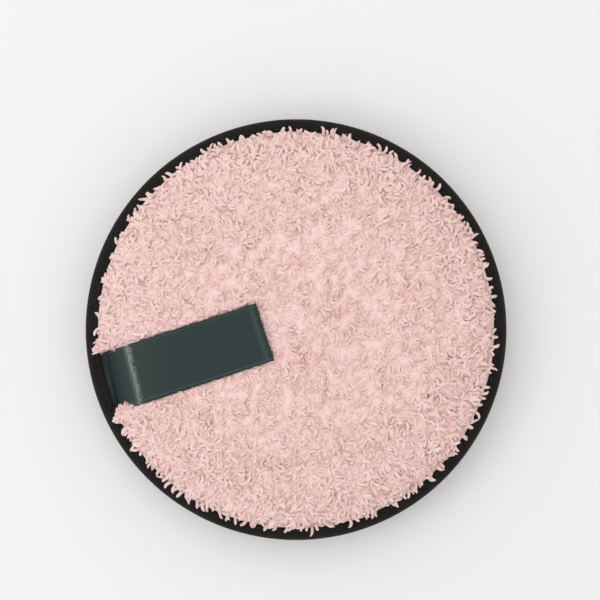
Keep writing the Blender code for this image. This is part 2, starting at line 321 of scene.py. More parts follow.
def plush_finish(name, root, middle, tip, tone_and_painted_shade):
    """Curled yarn: light at the root, where light shines through it, and each curl a little different."""
    paint = Paint(name, Roughness=1.0, Sheen_Weight=1.0, Sheen_Roughness=0.6, Specular_IOR_Level=0.25)
    paint.surface.inputs["Sheen Tint"].default_value = (1.0, 0.82, 0.80, 1.0)
    tone, along = paint.run("OFBake")
    yarn = paint.ramp(along, [(0.0, root), (0.38, middle), (0.8, tip)])
    # Painted light and shade: the tone lightens curls on top of a clump and darkens those between clumps and
    # at the rim, with each curl's own tone mixed in.
    shade = paint.ramp(tone, [(0.0, tone_and_painted_shade), (0.5, (1.0, 1.0, 1.0)), (1.0, (1.0, 1.0, 1.0))])
    paint.feed(Base_Color=paint.mix(1.0, yarn, shade, "MULTIPLY"))
    paint.bump(paint.noise(9000.0), 0.00004, 0.3)
    return paint.material


def ground_finish(name, low, high):
    """The matted yarn under the curls."""
    paint = Paint(name, Roughness=0.95, Sheen_Weight=0.2, Specular_IOR_Level=0.2)
    clots = paint.noise(1400.0, 3.0)
    paint.feed(Base_Color=paint.ramp(clots, [(0.3, low), (0.7, high)]))
    paint.bump(clots, 0.0004, 0.8)
    return paint.material


def foam_finish():
    """Pale open cells."""
    paint = Paint("foam_cells", Roughness=0.9, Specular_IOR_Level=0.2)
    cells = paint.node("ShaderNodeTexVoronoi", {}, {"Vector": paint.place(), "Scale": 1300.0})
    # Each cell is painted darker towards its middle, where the bump sinks it: painted shade in the pits.
    paint.feed(Base_Color=paint.ramp(cells, [(0.0, (0.62, 0.56, 0.44)), (0.6, (0.80, 0.76, 0.66))]))
    paint.bump(cells, 0.0004, 0.7)
    return paint.material


def tape_finish():
    """Black woven tape: a plain weave of fine ribs, matte, a little lighter on the raised weave and uneven in
    tone.
    """
    paint = Paint("black_tape_weave", Specular_IOR_Level=0.12, Sheen_Weight=0.03, Sheen_Roughness=0.4)
    along, across = paint.run("tape_run")
    ribs = (along * (2 * math.pi / TAPE_RIB)).sine()
    picks = (across * (2 * math.pi / TAPE_PICK)).sine()
    weave = ribs * picks * 0.5 + 0.5
    wear = paint.noise(260.0, 4.0)
    shade = weave * 0.35 + wear * 0.65
    paint.feed(Base_Color=paint.ramp(shade, [(0.25, linear(17, 15, 13)), (0.75, linear(36, 33, 30))]))
    paint.feed(Roughness=0.78 - weave * 0.15)
    paint.bump(weave, 0.00006, 0.8)
    return paint.material


def thread_finish():
    """Black thread with a faint twist."""
    paint = Paint("black_thread_twist", Roughness=0.55, Specular_IOR_Level=0.4)
    twist = paint.noise(5200.0, 1.0)
    paint.feed(Base_Color=paint.ramp(twist, [(0.3, linear(20, 20, 20)), (0.7, linear(48, 47, 46))]))
    paint.bump(twist, 0.00005, 0.6)
    return paint.material


def satin_finish():
    """Black satin, painted a dark green-grey that is partly a painted veil of reflected light: smooth floats,
    faint picks across, a lighter line by each edge, and a painted highlight with painted glints at the bend.
    """
    paint = Paint("black_ribbon_satin", Specular_IOR_Level=0.4, Sheen_Weight=0.05, Sheen_Roughness=0.3)
    along, across = paint.run("ribbon_run")
    picks = (along * (2 * math.pi / SATIN_PICK)).sine() * 0.5 + 0.5
    floats = paint.noise(2600.0, 3.0)
    edge = (across - RIBBON_WIDTH / MM / 2).size()
    selvedge = paint.near(edge, 7.55, 7.75)
    line = paint.near((edge - 7.7).size(), 0.22, 0.06)
    shade = floats * 0.6 + picks * 0.4
    # The satin's colours are a dark green-grey: black with a painted veil of reflected light over it.
    satin = paint.ramp(shade, [(0.3, linear(12, 35, 33)), (0.7, linear(22, 48, 46))])
    # Painted highlight at the bend: a lighter core along a line a little inside it, and painted glints
    # scattered about it.
    painted_highlight_line = PAINTED_HIGHLIGHT_PLACE + RIBBON_SKEW * RIBBON_OFFSET
    from_painted_highlight = (paint.dot(RIBBON_OUT + RIBBON_SKEW * RIBBON_SIDE) - painted_highlight_line).size()
    painted_glints = paint.near(paint.noise(4200.0), 0.50, 0.66) * paint.near(from_painted_highlight, 1.7 * MM, 0.3 * MM)
    painted_highlight = paint.near(from_painted_highlight, 0.55 * MM, 0.15 * MM)
    satin = paint.mix(painted_glints * 0.6 + painted_highlight * 0.12, satin, linear(196, 208, 202))
    paint.feed(Base_Color=paint.mix(line * 0.7, satin, linear(56, 68, 66)))
    paint.feed(Roughness=0.22 + selvedge * 0.15 + floats * 0.06)
    paint.bump(picks * (1 - selvedge) + selvedge * 3 + floats * 1.5, 0.00002, 0.8)
    return paint.material


def floor_finish():
    """Plain and pale."""
    paint = Paint("pale_floor", Roughness=0.9, Specular_IOR_Level=0.1)
    paint.surface.inputs["Base Color"].default_value = (0.88, 0.88, 0.88, 1.0)
    return paint.material


def deselect():
    """Leaves edit mode and selects nothing."""
    if bpy.context.object and bpy.context.object.mode != "OBJECT":
        bpy.ops.object.mode_set(mode="OBJECT")
    bpy.ops.object.select_all(action="DESELECT")


def activate(piece):
    deselect()
    piece.select_set(True)
    bpy.context.view_layer.objects.active = piece


def apply_modifiers(piece):
    """Applies all of a piece's modifiers, the first one first."""
    activate(piece)
    for modifier in list(piece.modifiers):
        bpy.ops.object.modifier_apply(modifier=modifier.name)


def points_of(mesh):
    """A mesh's points as rows of an array."""
    found = np.empty(len(mesh.vertices) * 3)
    mesh.vertices.foreach_get("co", found)
    return found.reshape(-1, 3)


def place_points(mesh, points):
    mesh.vertices.foreach_set("co", np.asarray(points, float).ravel())
    mesh.update()


def sort_parts():
    """Orders a mesh by distance from an odd place, because merging doubles leaves a chance order of faces."""
    cursor = bpy.context.scene.cursor
    cursor.location = SORT_PLACE
    bpy.ops.mesh.sort_elements(type="CURSOR_DISTANCE", elements={"VERT", "EDGE", "FACE"})
    cursor.location = (0.0, 0.0, 0.0)


def turned(name, profile, steps, closed):
    """A profile of (radius, height) points turned round the pad's axis. An open one begins and ends on it."""
    deselect()
    bpy.ops.mesh.primitive_circle_add(vertices=len(profile), radius=1.0)
    piece = bpy.context.object
    piece.name = name
    place_points(piece.data, [(radius, 0.0, height) for radius, height in profile])
    bpy.ops.object.mode_set(mode="EDIT")
    if not closed:
        bpy.ops.mesh.select_all(action="DESELECT")
        bpy.ops.object.mode_set(mode="OBJECT")
        last = len(profile) - 1
        for edge in piece.data.edges:
            edge.select = set(edge.vertices) == {0, last}
        bpy.ops.object.mode_set(mode="EDIT")
        bpy.ops.mesh.select_mode(type="EDGE")
        bpy.ops.mesh.delete(type="EDGE")
    bpy.ops.mesh.select_all(action="SELECT")
    bpy.ops.mesh.spin(steps=steps, angle=2 * math.pi, center=(0, 0, 0), axis=(0, 0, 1))
    bpy.ops.mesh.select_all(action="SELECT")
    bpy.ops.mesh.remove_doubles(threshold=0.00001)
    bpy.ops.mesh.normals_make_consistent(inside=False)
    sort_parts()
    bpy.ops.object.mode_set(mode="OBJECT")
    return piece


def cloth_rise(radius, rise):
    """Height of a cover's crown over the seam plane."""
    share = np.minimum(1.0, np.abs(radius) / PILE_EDGE)
    return PILE_FOOT + (rise - PILE_FOOT) * (1.0 - share ** SHOULDER_POWER) ** SHOULDER_ROUND


def crown_run(rise):
    """Radius, height and distance from the middle along a cover's crown."""
    radius = PILE_EDGE * np.sin(np.linspace(0.0, math.pi / 2, 600))
    height = cloth_rise(radius, rise)
    run = np.concatenate([[0.0], np.cumsum(np.hypot(np.diff(radius), np.diff(height)))])
    return radius, height, run


def crown_profile(rise, steps):
    """Evenly spaced points of a cover's crown, from the middle out."""
    radius, height, run = crown_run(rise)
    even = np.linspace(0.0, run[-1], steps)
    return list(zip(np.interp(even, run, radius), np.interp(even, run, height)))


def sunflower(rise, count, stray, seed):
    """Points spread evenly over a crown on a spiral, each a little astray, over the seam plane."""
    draw = np.random.default_rng(seed)
    radius, height, run = crown_run(rise)
    ring = np.concatenate([[0.0], np.cumsum(np.diff(run) * (radius[1:] + radius[:-1]) / 2)])
    even = (np.arange(count) + 0.5) / count * ring[-1]
    gap = math.sqrt(2 * math.pi * ring[-1] / count)
    away = np.interp(even, ring, run) + draw.uniform(-1, 1, count) * stray * gap
    away = np.clip(np.abs(away), 0.0, run[-1])
    out = np.interp(away, run, radius)
    turn = np.arange(count) * GOLDEN_TURN + draw.uniform(-1, 1, count) * stray * gap / np.maximum(out, gap)
    return np.stack([out * np.cos(turn), out * np.sin(turn), np.interp(away, run, height)], axis=1)


class Clumps:
    """The knots into which a cover's pile has gathered."""

    def __init__(self, rise, count, dome, seed):
        draw = np.random.default_rng(seed)
        spots = sunflower(rise, count, CLUMP_STRAY, seed)
        self.dome = dome
        self.headings = draw.uniform(0.0, 2 * math.pi, count)
        self.fullness = draw.uniform(0.35, 1.0, count)
        self.reach = CLUMP_REACH * draw.uniform(0.8, 1.25, count)
        self.tree = kdtree.KDTree(count)
        for index, spot in enumerate(spots):
            self.tree.insert(Vector(spot), index)
        self.tree.balance()

    def at(self, spot):
        """Share of the full height and the clump that rules at a spot over the seam plane."""
        best, ruler = 0.0, 0
        for _, index, away in self.tree.find_n(Vector(spot), 5):
            share = self.fullness[index] * (1.0 - (away / self.reach[index]) ** 2)
            if share > best:
                best, ruler = share, index
        return best, ruler


def ribbon_rise(along):
    """Height of the ribbon's middle over the seam: it lies on the crown, bends and drops to its slot."""
    def crown(place):
        stiff = np.maximum(0.0, place - STIFF_START) * STIFF_FALL
        return cloth_rise(np.minimum(place, STIFF_START), FRONT_RISE) + RIBBON_REST - stiff

    top = crown(along)
    edge = float(crown(BEND_START))
    drop = edge - (along - BEND_START) * (edge - RIBBON_SLOT) / (SLOT_START - BEND_START)
    bent = (top + drop - np.sqrt((top - drop) ** 2 + BEND_ROUND ** 2)) / 2
    return (bent + RIBBON_SLOT + np.sqrt((bent - RIBBON_SLOT) ** 2 + SLOT_ROUND ** 2)) / 2


def rim_inset(x, y):
    """How far the pile stands back from its edge near a place: a slow waver round the rim."""
    reach = math.hypot(x, y)
    share = min(1.0, max(0.0, (reach - RIM_START) / (PILE_EDGE - RIM_START)))
    place = Vector((x, y, 0.0)) * (PILE_EDGE / max(reach, MM))
    waver = noise.noise(place / WAVER_SIZE + Vector((3.0, 9.0, 5.0)))
    inset = RIM_INSET + RIM_SHIFT * place.x / PILE_EDGE + RIM_WAVER * waver
    return share * min(MOST_INSET, max(LEAST_INSET, inset))


def soft_floor(height, floor, start):
    """Heights squeezed together below a start, so that none passes the floor."""
    room = start - floor
    squeezed = floor + room * np.exp((np.minimum(height, start) - start) / room)
    return np.where(height < start, squeezed, height)


def press_bed(points):
    """Lowers the ground under the ribbon, with soft edges, so that the ribbon lies in the pile."""
    along = points @ RIBBON_OUT
    across = points @ RIBBON_SIDE - RIBBON_OFFSET
    inside = np.clip((RIBBON_WIDTH / 2 + BED_EDGE - np.abs(across)) / BED_EDGE, 0.0, 1.0)
    inside *= np.clip((along - RIBBON_END + BED_EDGE) / BED_EDGE, 0.0, 1.0)
    floor = ribbon_rise(along + RIBBON_SKEW * across) - BED_DEPTH
    over = np.maximum(0.0, points[:, 2] - floor)
    outer = points[:, 2] > np.where(along > COLLAR - 4 * MM, 0.3 * MM, PILE_FOOT - 1.0 * MM)
    pressed = outer & (along > 0)
    points[pressed, 2] -= (over * inside)[pressed]


def cover_profile(rise):
    """Half a section of a cover: its crown, its edge by the tape, its flange and the hollow over the core."""
    flange = [
        (COLLAR, TAPE_BULGE + 0.6 * MM),
        (COLLAR, FLANGE_TOP),
        FLANGE_KNEE,
        (FLANGE_TIP, SEAM_HALF_GAP),
    ]
    shares = np.sin(np.linspace(math.pi / 2, 0.0, HOLLOW_STEPS))
    hollow = [
        (CORE_RADIUS * share, (rise - COVER_WALL) * math.sqrt(max(0.0, 1.0 - share ** 4)) + CORE_GAP)
        for share in shares
    ]
    return crown_profile(rise, CROWN_STEPS) + flange + [(CORE_RADIUS + CORE_GAP, SEAM_HALF_GAP)] + hollow[1:]


def swell_cloth(cover, free):
    """Swells the free part of a cover under pressure with Cloth, the rest held, and keeps its last shape."""
    rest = points_of(cover.data)
    held = cover.vertex_groups.new(name="held")
    held.add([int(index) for index in np.nonzero(~free)[0]], 1.0, "REPLACE")
    swell = cover.modifiers.new("swell", "CLOTH")
    swell.settings.use_pressure = True
    swell.settings.uniform_pressure_force = SWELL_PRESSURE
    swell.settings.vertex_group_mass = "held"
    swell.settings.effector_weights.gravity = 0.0
    for step in range(1, SWELL_STEPS + 1):
        bpy.context.scene.frame_set(step)
    apply_modifiers(cover)
    moved = points_of(cover.data) - rest
    length = np.linalg.norm(moved, axis=1, keepdims=True)
    moved *= np.minimum(1.0, SWELL_LIMIT / np.maximum(length, 1e-9))
    place_points(cover.data, rest + moved)
    bpy.context.scene.frame_set(1)


def gather_clumps(points, rise, clumps):
    """Raises the ground under each clump of pile and draws it in at the rim."""
    radius = np.hypot(points[:, 0], points[:, 1])
    outer = (points[:, 2] > cloth_rise(radius, rise) - 0.6 * MM) & (points[:, 2] > PILE_FOOT - 0.6 * MM)
    middle = Vector((0.0, 0.0, -PAD_RADIUS * 0.6))
    for index in np.nonzero(outer)[0]:
        spot = Vector(points[index])
        way = Vector((spot.x, spot.y, 0.0)) * (spot.length / PAD_RADIUS) ** 8 - middle
        share, _ = clumps.at(spot)
        points[index] += np.array(way.normalized()) * share * clumps.dome
        points[index, :2] *= 1.0 - rim_inset(spot.x, spot.y) / PAD_RADIUS


def ground_cover(side, rise, facing, clumps, low, high):
    """A crowned cover of matted yarn over the foam. Facing is 1 up or -1 down."""
    cover = turned(side + "_cover_ground", cover_profile(rise), COVER_TURNS, closed=False)
    rest = points_of(cover.data)
    radius = np.hypot(rest[:, 0], rest[:, 1])
    free = (rest[:, 2] >= cloth_rise(radius, rise) - 0.05 * MM) & (radius < PILE_EDGE - 1.0 * MM)
    for index in np.nonzero(free)[0]:
        lump = noise.noise(Vector(rest[index]) / LUMP_LENGTH) * LUMP_HEIGHT
        rest[index, 2] += lump * (1.0 - (radius[index] / PILE_EDGE) ** 6)
    place_points(cover.data, rest)
    swell_cloth(cover, free)
    smooth = cover.modifiers.new("smooth", "SUBSURF")
    smooth.levels = 1
    smooth.render_levels = 1
    smooth.use_limit_surface = False
    apply_modifiers(cover)
    points = points_of(cover.data)
    gather_clumps(points, rise, clumps)
    if facing > 0:
        press_bed(points)
    points[:, 2] = SEAM_HEIGHT + facing * points[:, 2]
    points[:, 2] = soft_floor(points[:, 2], GROUND_FLOOR, GROUND_SETTLE)
    place_points(cover.data, points)
    if facing < 0:
        activate(cover)
        bpy.ops.object.mode_set(mode="EDIT")
        bpy.ops.mesh.select_all(action="SELECT")
        bpy.ops.mesh.flip_normals()
        bpy.ops.object.mode_set(mode="OBJECT")
    cover.data.shade_smooth()
    cover.data.materials.append(ground_finish(side + "_ground_cloth", low, high))
    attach(cover, "root")
    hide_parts(side + "_cover")
    return cover


def strand_line(length, first_turn, second_turn, climb, dive, start_depth):
    """Points of one curl's middle: it climbs out of the ground, turns twice and dives."""
    spot = np.array([0.0, 0.0, -start_depth])
    line = [spot]
    heading = 0.0
    step = length / STRAND_SEGMENTS
    for index in range(STRAND_SEGMENTS):
        share = (index + 0.5) / STRAND_SEGMENTS
        heading += math.radians(first_turn if share < 0.5 else second_turn) / STRAND_SEGMENTS * 2
        lift = math.radians(climb + (dive - climb) * share ** 0.8)
        level = math.cos(lift)
        spot = spot + np.array([math.cos(heading) * level, math.sin(heading) * level, math.sin(lift)]) * step
        line.append(spot)
    return line


def strand_model(name, line, radius, ends):
    """One closed strand along a line, as points, faces and each corner's share of its girth and length."""
    deselect()
    bpy.ops.curve.primitive_nurbs_path_add()
    path = bpy.context.object
    path.name = name
    path.data.splines.clear()
    spline = path.data.splines.new("POLY")
    spline.points.add(len(line) - 1)
    widths = [0.85] + [1.04] * (len(line) - 3) + list(ends)
    for point, spot, width in zip(spline.points, line, widths):
        point.co = (*spot, 1.0)
        point.radius = width
    path.data.dimensions = "3D"
    path.data.bevel_depth = radius
    path.data.bevel_resolution = 0
    path.data.use_fill_caps = True
    activate(path)
    bpy.ops.object.convert(target="MESH")
    strand = bpy.context.object
    bpy.ops.object.mode_set(mode="EDIT")
    bpy.ops.mesh.select_all(action="SELECT")
    bpy.ops.mesh.remove_doubles(threshold=0.000005)
    bpy.ops.mesh.normals_make_consistent(inside=False)
    bpy.ops.object.mode_set(mode="OBJECT")
    points = points_of(strand.data)
    centres = np.array(line)
    ring = np.linalg.norm(points[:, None, :] - centres[None, :, :], axis=2).argmin(axis=1)
    girth = np.zeros(len(points))
    for index in range(len(line)):
        members = np.nonzero(ring == index)[0]
        girth[members] = np.arange(len(members)) / 4.0
    along = 0.02 + 0.96 * ring / (len(line) - 1)
    corners, starts, places = [], [], []
    for face in strand.data.polygons:
        starts.append(len(corners))
        sides = [girth[index] for index in face.vertices]
        heights = [along[index] for index in face.vertices]
        if max(heights) == min(heights):
            beyond = 0.015 if heights[0] > 0.5 else -0.015
            sides = [0.0, 0.0, 1.0, 1.0]
            heights = [heights[0] + beyond * part for part in (0, 1, 1, 0)]
        elif max(sides) > 0.7:
            sides = [1.0 if side < 0.1 else side for side in sides]
        corners += list(face.vertices)
        places += [((side - 0.5) * TONE_BAND, height) for side, height in zip(sides, heights)]
    bpy.data.objects.remove(strand)
    return {
        "points": points,
        "corners": np.array(corners),
        "starts": np.array(starts),
        "places": np.array(places),
    }


def strand_models(name, shapes, depth, radius, ends):
    """The few strands that a pile repeats, such as petals, hooks, S and C shapes, nubs and a loop."""
    return [
        strand_model(name, strand_line(length * MM, first, second, climb, dive, depth), radius, ends)
        for length, first, second, climb, dive in shapes
    ]


def rooted_points(cover, rise, facing, count, seed):
    """Where the curls of a cover root in its ground, and the ground's direction there."""
    mesh = cover.data
    ground = BVHTree.FromPolygons(
        [vertex.co for vertex in mesh.vertices], [face.vertices for face in mesh.polygons]
    )
    rooted = []
    for spot in sunflower(rise, count, 0.42, seed):
        inward = 1.0 - CURL_INSET * rim_inset(spot[0], spot[1]) / PAD_RADIUS
        above = Vector((spot[0] * inward, spot[1] * inward, SEAM_HEIGHT + facing * (spot[2] + 0.6 * MM)))
        place, way, _, _ = ground.find_nearest(above)
        rooted.append((place, way))
    return rooted


def standing_turn(normal, heading, lean, size):
    """Rotation and size that stand a curl on a normal, turned to a heading in the plane of the ground."""
    up = Vector(normal).normalized()
    flat = Vector((math.cos(heading), math.sin(heading), 0.0))
    forward = (flat - up * flat.dot(up)).normalized()
    side = up.cross(forward)
    basis = Matrix((forward, side, up)).transposed()
    return np.array(basis @ Matrix.Rotation(lean, 3, "Y")) * size


def joined_strands(name, placed, keep_clear):
    """One piece from many copied strands. Placed holds (model, turn, spot, tone)."""
    points, corners, starts, places = [], [], [], []
    point_count = corner_count = 0
    for model, turn, spot, tone in placed:
        points.append(model["points"] @ turn.T + spot)
        corners.append(model["corners"] + point_count)
        starts.append(model["starts"] + corner_count)
        places.append(model["places"] + (tone, 0.0))
        point_count += len(model["points"])
        corner_count += len(model["corners"])
    points = keep_clear(np.concatenate(points))
    mesh = bpy.data.meshes.new(name)
    mesh.vertices.add(point_count)
    mesh.vertices.foreach_set("co", points.ravel())
    mesh.loops.add(corner_count)
    mesh.loops.foreach_set("vertex_index", np.concatenate(corners))
    starts = np.concatenate(starts)
    mesh.polygons.add(len(starts))
    mesh.polygons.foreach_set("loop_start", starts)
    layer = mesh.uv_layers.new(name="OFBake")
    layer.data.foreach_set("uv", np.concatenate(places).ravel())
    mesh.update(calc_edges=True)
    mesh.validate()
    mesh.shade_smooth()
    piece = bpy.data.objects.new(name, mesh)
    bpy.context.scene.collection.objects.link(piece)
    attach(piece, "root")
    return piece


def slow_noise(spot, size, shift):
    """Noise over the pad whose hills are about a size across, moved by a shift."""
    return noise.noise(Vector(spot) / size + Vector((shift, shift * 0.7, shift * 0.3)))


def tone_with_painted_shade(spot, height):
    """Tone of a curl: slow change over the pad and its own chance, and painted light and shade from the
    height given: lighter on top of a clump, darker at the rim.
    """
    slow = slow_noise(spot, 7.0 * MM, 3.0) * 0.42 + slow_noise(spot, 17.0 * MM, 8.0) * 0.3
    return min(0.93, max(0.03, 0.17 + slow + 0.6 * height + chance.uniform(-0.16, 0.16)))


def pile_over(rooted, facing, clumps, models, size_low, size_high):
    """A curl for each root. Curls of one clump share a heading, and near the rim they lean out."""
    placed = []
    straight = [models[index] for index in STRAIGHT_CURLS]
    for place, way in rooted:
        share, ruler = clumps.at((place.x, place.y, facing * (place.z - SEAM_HEIGHT)))
        edge = min(1.0, max(0.0, (math.hypot(place.x, place.y) - SHAG_START) / SHAG_WIDTH))
        heading = clumps.headings[ruler] + chance.gauss(0.0, 0.65)
        if chance.random() < edge:
            lean = (clumps.headings[ruler] / math.pi - 1.0) * 0.7
            heading = math.atan2(place.y, place.x) + lean + chance.gauss(0.0, 0.4)
        size = chance.uniform(size_low, size_high) * (1.0 + 0.14 * edge)
        kind = chance.choice(straight if edge > STRAIGHT_FROM else models)
        if edge > SHORT_FROM:
            size *= SHORT_SIZE
        turn = standing_turn(way, heading, chance.uniform(-0.2, 0.2), size)
        lift = (chance.uniform(-0.36, 0.10) + 0.32 * edge) * MM
        # Its tone is painted lighter on top of a clump and darker between clumps: painted light and shade.
        placed.append((kind, turn, np.array(place + way * lift), tone_with_painted_shade(place, share)))
    return placed


def at_ribbon_root(turn):
    """Whether a place on the rim is under the ribbon."""
    out = np.array([math.cos(turn), math.sin(turn), 0.0]) * PILE_EDGE
    return out @ RIBBON_OUT > 0 and abs(out @ RIBBON_SIDE - RIBBON_OFFSET) < RIBBON_WIDTH / 2 - 0.2 * MM


def rim_strand(model, facing, angle, radius, height, heading):
    """One strand that roots at the edge of the crown and leans out."""
    out = Vector((math.cos(angle), math.sin(angle), 0.0))
    normal = (out * 0.55 + Vector((0.0, 0.0, facing))).normalized()
    turn = standing_turn(normal, heading, chance.uniform(-0.1, 0.3), chance.uniform(0.85, 1.1))
    spot = np.array([out.x * radius, out.y * radius, SEAM_HEIGHT + facing * height])
    # Rim strands get painted shade: a darker tone where the crown turns down.
    return model, turn, spot, tone_with_painted_shade(spot, -0.2)


def rim_fringe(models, facing, rise):
    """Pointed clumps of strands that lean out over the tape, and a few strands that stand alone."""
    placed = []
    for clump in range(RIM_CLUMPS):
        middle = 2 * math.pi * (clump + chance.uniform(-0.35, 0.35)) / RIM_CLUMPS
        if facing > 0 and at_ribbon_root(middle):
            continue
        reach = chance.uniform(-2.0, 0.6) * MM
        width = chance.uniform(0.8, 1.2)
        leaning = chance.gauss(0.0, 0.3)
        for _ in range(CLUMP_STRANDS):
            offset = chance.uniform(-1.0, 1.0)
            angle = middle + offset * width * CLUMP_WIDTH / PILE_EDGE
            radius = PILE_EDGE - 1.1 * MM + reach - offset ** 2 * 0.9 * MM + chance.uniform(-0.4, 0.3) * MM
            height = float(cloth_rise(min(radius, PILE_EDGE - 0.05 * MM), rise)) - 0.2 * MM
            height = max(height * chance.uniform(0.8, 1.0), PILE_FOOT - 0.2 * MM)
            radius -= rim_inset(PILE_EDGE * math.cos(angle), PILE_EDGE * math.sin(angle))
            heading = angle + leaning - offset * 0.75 + chance.gauss(0.0, 0.2)
            placed.append(rim_strand(chance.choice(models), facing, angle, radius, height, heading))
    for single in range(RIM_SINGLES):
        angle = 2 * math.pi * (single + chance.uniform(-0.4, 0.4)) / RIM_SINGLES
        if facing > 0 and at_ribbon_root(angle):
            continue
        heading = angle + chance.gauss(0.0, 0.5)
        radius = PILE_EDGE - 0.6 * MM
        placed.append(rim_strand(models[4], facing, angle, radius, PILE_FOOT + 0.4 * MM, heading))
    return placed


def corner_tuft(models):
    """Strands at the lower corner of the ribbon's root, which fall over its edge."""
    placed = []
    for _ in range(CORNER_STRANDS):
        along = chance.uniform(50.6, 54.2) * MM
        across = RIBBON_OFFSET - RIBBON_WIDTH / 2 - chance.uniform(0.5, 1.8) * MM
        height = max(float(cloth_rise(along, FRONT_RISE)) - chance.uniform(0.2, 1.0) * MM, PILE_FOOT)
        spot = RIBBON_OUT * along + RIBBON_SIDE * across + (0.0, 0.0, SEAM_HEIGHT + height)
        heading = RIBBON_TURN - math.pi / 2 + chance.gauss(0.35, 0.5)
        normal = Vector(RIBBON_OUT) * 0.3 + Vector((0.0, 0.0, 1.0))
        turn = standing_turn(normal, heading, chance.uniform(-0.1, 0.2), chance.uniform(0.8, 1.0))
        # Painted shade: these strands get a darker tone by the ribbon's root and the tape.
        placed.append((chance.choice(models), turn, spot, tone_with_painted_shade(spot, -0.1)))
    return placed


def clear_of_ribbon(points):
    """Moves the pile out from under the ribbon's edges and presses down what lies deeper under it."""
    along = points @ RIBBON_OUT
    across = points @ RIBBON_SIDE - RIBBON_OFFSET
    floor = SEAM_HEIGHT + ribbon_rise(along + RIBBON_SKEW * across) - 0.6 * MM
    to_side = RIBBON_WIDTH / 2 + EDGE_ROOM - np.abs(across)
    to_end = along - RIBBON_END + EDGE_ROOM
    inside = (to_side > 0) & (to_end > 0) & (along < RIBBON_ROOT) & (points[:, 2] > floor)
    sideways = inside & (to_side < PUSH_REACH) & (to_side <= to_end)
    endways = inside & (to_end < PUSH_REACH) & (to_end < to_side)
    points[sideways] += (to_side * np.sign(across))[sideways][:, None] * RIBBON_SIDE
    points[endways] -= to_end[endways][:, None] * RIBBON_OUT
    below = inside & ~sideways & ~endways
    points[below, 2] = floor[below]
    return points


def clear_of_tape(points):
    """Keeps strands above the tape that they lie over."""
    radius = np.hypot(points[:, 0], points[:, 1])
    height = points[:, 2] - SEAM_HEIGHT
    share = np.minimum(1.0, np.maximum(0.0, radius - FOLD_START) / TAPE_FOLD)
    cover = TAPE_BULGE * np.sqrt(1.0 - share ** 2) + TAPE_THICK / 2 + 0.1 * MM
    low = (radius > LIP_EDGE - 0.4 * MM) & (np.abs(height) < cover)
    points[low, 2] = SEAM_HEIGHT + np.sign(height[low]) * cover[low]
    return points


def clear_in_front(points):
    """Keeps the front's pile clear of the tape and of the ribbon."""
    return clear_of_ribbon(clear_of_tape(points))


def clear_behind(points):
    """Keeps the back's pile clear of the tape and above the table, where it is pressed flat."""
    points = clear_of_tape(points)
    points[:, 2] = soft_floor(points[:, 2], PILE_FLOOR, PILE_SETTLE)
    return points


def left_as_placed(points):
    """For strands that have nothing to keep clear of."""
    return points


def tape_profile(thick_side):
    """One face of the folded tape, from its upper lip round the rim to the lower. 1 is outside, -1 inside."""
    half = TAPE_THICK / 2 * thick_side
    line = [
        (LIP_EDGE, TAPE_BULGE + 0.05 * MM),
        (LIP_EDGE + 0.35 * MM, TAPE_BULGE - 0.02 * MM),
        (LIP_EDGE + 0.8 * MM, TAPE_NECK + 0.02 * MM),
        (LIP_EDGE + STITCH_INSET, TAPE_NECK - 0.03 * MM),
    ]
    for index in range(11):
        turn = math.pi / 2 * (1.0 - index / 10)
        line.append((FOLD_START + TAPE_FOLD * math.cos(turn), TAPE_BULGE * math.sin(turn)))
    line += [(radius, -height) for radius, height in reversed(line[:-1])]
    moved = []
    for index, point in enumerate(line):
        before = line[max(0, index - 1)]
        after = line[min(len(line) - 1, index + 1)]
        square = Vector((before[1] - after[1], after[0] - before[0])).normalized()
        moved.append((point[0] + square.x * half, point[1] + square.y * half))
    return moved


def edge_tape():
    """The folded tape, drawn in a little at each stitch."""
    section = tape_profile(1) + tape_profile(-1)[::-1]
    profile = [(radius, height + SEAM_HEIGHT) for radius, height in section]
    tape = turned("edge_binding_tape", profile, 2 * STITCHES, closed=True)
    points = points_of(tape.data)
    radius = np.hypot(points[:, 0], points[:, 1])
    angle = np.arctan2(points[:, 1], points[:, 0])
    height = points[:, 2] - SEAM_HEIGHT
    near = np.exp(-((radius - LIP_EDGE - STITCH_INSET) / (0.9 * MM)) ** 2)
    pull = 0.5 + 0.5 * np.cos(angle * STITCHES)
    points[:, 2] -= np.sign(height) * near * pull * STITCH_PULL
    ripple = np.array([noise.noise(Vector(point) / (9.0 * MM)) for point in points]) * TAPE_RIPPLE
    points[:, 2] += ripple * (1 - near)
    place_points(tape.data, points)
    add_turned_map(tape, "tape_run")
    tape.data.shade_smooth()
    tape.data.materials.append(tape_finish())
    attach(tape, "root")
    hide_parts("edge_binding")
    return tape


def add_turned_map(piece, name):
    """A map in millimetres: round the rim, and over the tape from lip to lip."""
    mesh = piece.data
    layer = mesh.uv_layers.new(name=name)
    points = points_of(mesh)
    radius = np.hypot(points[:, 0], points[:, 1])
    over = np.arctan2(points[:, 2] - SEAM_HEIGHT, radius - PAD_RADIUS + 3.0 * MM) * 3.0
    around = np.arctan2(points[:, 1], points[:, 0])
    for face in mesh.polygons:
        turns = [around[index] for index in face.vertices]
        wraps = max(turns) - min(turns) > math.pi
        for corner, index, turn in zip(face.loop_indices, face.vertices, turns):
            turn = turn + 2 * math.pi if wraps and turn < 0 else turn
            layer.data[corner].uv = (turn * PAD_RADIUS / MM, over[index])


